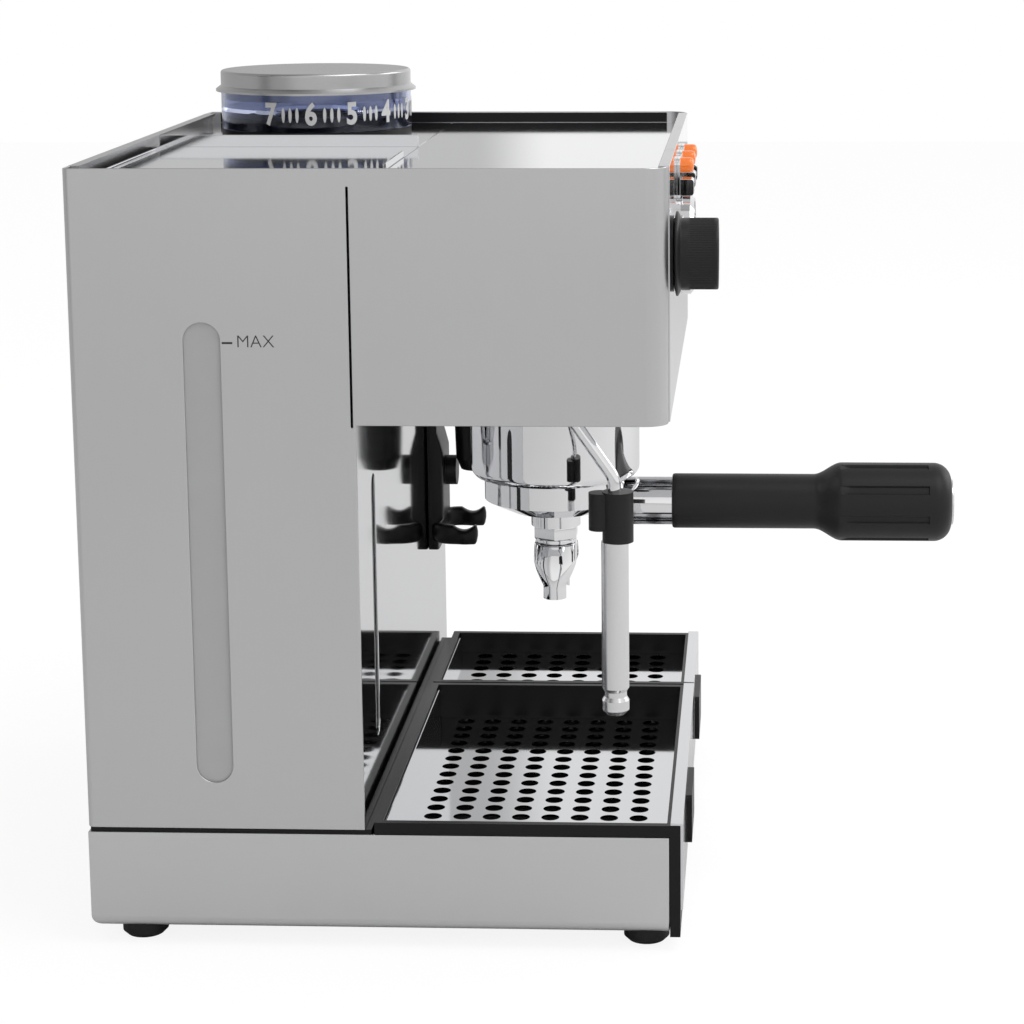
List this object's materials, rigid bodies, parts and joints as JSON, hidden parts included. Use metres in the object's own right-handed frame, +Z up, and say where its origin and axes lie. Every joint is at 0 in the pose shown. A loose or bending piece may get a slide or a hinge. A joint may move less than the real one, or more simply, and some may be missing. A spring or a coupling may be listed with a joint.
{
  "type": "espresso machine",
  "caption": "Countertop espresso machine with a built-in grinder, bean hopper, lever-handled filter holder, steam wand, gauge, water tank and sliding drip trays.",
  "frame": {"origin": "on the floor under the machine, at the middle of its width and halfway between the screw heads on the back and the tip of the portafilter's handle", "axes": "+Z up, -Y towards the front where the user stands, +X to the user's right"},
  "size_m": [0.32, 0.401, 0.3857],
  "materials": {
    "panel_steel": "brushed",
    "polished_steel": "polished",
    "chrome": "polished",
    "black_plastic": "satin",
    "rubber": "matte",
    "smoky_plastic": "clear smoky",
    "clear_plastic": "clear",
    "lamp_orange": "translucent gloss",
    "brass": "machined",
    "aluminium": "cast",
    "circuit_green": "solder mask",
    "needle_black": "painted"
  },
  "bodies": {
    "machine": {"base_shell": "panel_steel", "feet": "rubber", "chassis": "black_plastic", "left_side_panel": "panel_steel", "right_side_panel": "panel_steel", "back_panel": "panel_steel", "column_wall": "polished_steel", "head_underside": "panel_steel", "front_panel": "panel_steel", "cup_plate": "panel_steel", "hopper_deck": "panel_steel", "level_windows": "clear_plastic", "panel_screws": "chrome", "boiler": "brass", "group_head": "chrome", "group_gasket": "rubber", "shower_screen": "panel_steel", "pump": "aluminium", "solenoid_valve": "brass", "control_board": "circuit_green", "power_inlet": "black_plastic", "steam_valve": "brass", "knob_plate": "black_plastic", "gauge_case": "chrome", "gauge_glass": "clear_plastic", "switch_bezels": "chrome", "switch_bodies": "black_plastic", "lamp_lenses": "lamp_orange", "hopper_collar": "black_plastic", "grinder_housing": "aluminium", "grinder_motor": "panel_steel", "grind_chute": "black_plastic", "grind_fork": "black_plastic"},
    "steam_control": {"steam_knob": "black_plastic", "steam_spindle": "brass"},
    "steam_wand": {"wand_tube": "chrome", "wand_grip": "black_plastic", "wand_sleeve": "polished_steel"},
    "needle": {"gauge_needle": "needle_black"},
    "power_key": {"power_rocker": "chrome"},
    "brew_key": {"brew_rocker": "chrome"},
    "steam_key": {"steam_rocker": "chrome"},
    "tank": {"water_tank": "clear_plastic"},
    "tank_cover": {"tank_lid": "panel_steel"},
    "hopper": {"bean_hopper": "smoky_plastic", "upper_burr": "panel_steel"},
    "hopper_cover": {"hopper_lid": "panel_steel"},
    "burr_drive": {"lower_burr": "panel_steel"},
    "grind_key": {"grind_button": "black_plastic"},
    "filter_holder": {"portafilter": "chrome", "filter_basket": "polished_steel", "spout": "chrome", "handle_grip": "black_plastic", "handle_cap": "black_plastic"},
    "coffee_tray": {"near_tray": "black_plastic", "near_tray_front": "panel_steel"},
    "coffee_tray_grid": {"near_grid": "polished_steel"},
    "grinder_tray": {"far_tray": "black_plastic", "far_tray_front": "panel_steel"},
    "grinder_tray_grid": {"far_grid": "polished_steel"}
  },
  "joints": [
    {"name": "steam_knob_turn", "type": "hinge", "parent": "machine", "child": "steam_control", "pos_m": [-0.13, -0.0665, 0.316], "axis": [0, -1, 0], "range_deg": [0, 270]},
    {"name": "wand_swing", "type": "hinge", "parent": "machine", "child": "steam_wand", "pos_m": [-0.115, -0.00976, 0.2542], "axis": [0, 0, 1], "range_deg": [-70, 40]},
    {"name": "needle_turn", "type": "hinge", "parent": "machine", "child": "needle", "pos_m": [0, -0.0699, 0.304], "axis": [0, 1, 0], "range_deg": [0, 270], "stiffness_Nm_per_rad": 0.0002},
    {"name": "power_rocker_tip", "type": "hinge", "parent": "machine", "child": "power_key", "pos_m": [-0.035, -0.0644, 0.336], "axis": [1, 0, 0], "range_deg": [0, 8]},
    {"name": "brew_rocker_tip", "type": "hinge", "parent": "machine", "child": "brew_key", "pos_m": [0, -0.0644, 0.336], "axis": [1, 0, 0], "range_deg": [0, 8]},
    {"name": "steam_rocker_tip", "type": "hinge", "parent": "machine", "child": "steam_key", "pos_m": [0.035, -0.0644, 0.336], "axis": [1, 0, 0], "range_deg": [0, 8]},
    {"name": "tank_lift", "type": "slide", "parent": "machine", "child": "tank", "axis": [0, 0, 1], "range_m": [0, 0.3]},
    {"name": "tank_lid_open", "type": "hinge", "parent": "tank", "child": "tank_cover", "pos_m": [-0.0744, 0.1913, 0.351], "axis": [-1, 0, 0], "range_deg": [0, 80]},
    {"name": "grind_setting", "type": "hinge", "parent": "machine", "child": "hopper", "pos_m": [0.08, 0.1255, 0.356], "axis": [0, 0, 1], "range_deg": [-120, 90]},
    {"name": "hopper_lid_lift", "type": "slide", "parent": "hopper", "child": "hopper_cover", "axis": [0, 0, 1], "range_m": [0, 0.08]},
    {"name": "burr_spin", "type": "hinge", "parent": "machine", "child": "burr_drive", "pos_m": [0.08, 0.1255, 0.3188], "axis": [0, 0, 1], "continuous": true},
    {"name": "grind_button_press", "type": "slide", "parent": "machine", "child": "grind_key", "axis": [0, 1, 0], "range_m": [0, 0.003], "stiffness_N_per_m": 300},
    {"name": "portafilter_lock", "type": "hinge", "parent": "machine", "child": "filter_holder", "pos_m": [-0.041, -0.0075, 0.197], "axis": [0, 0, 1], "range_deg": [-45, 0]},
    {"name": "coffee_tray_slide", "type": "slide", "parent": "machine", "child": "coffee_tray", "axis": [0, -1, 0], "range_m": [0, 0.13]},
    {"name": "coffee_grid_lift", "type": "slide", "parent": "coffee_tray", "child": "coffee_tray_grid", "axis": [0, 0, 1], "range_m": [0, 0.045]},
    {"name": "grinder_tray_slide", "type": "slide", "parent": "machine", "child": "grinder_tray", "axis": [0, -1, 0], "range_m": [0, 0.13]},
    {"name": "grinder_grid_lift", "type": "slide", "parent": "grinder_tray", "child": "grinder_tray_grid", "axis": [0, 0, 1], "range_m": [0, 0.045]}
  ]
}
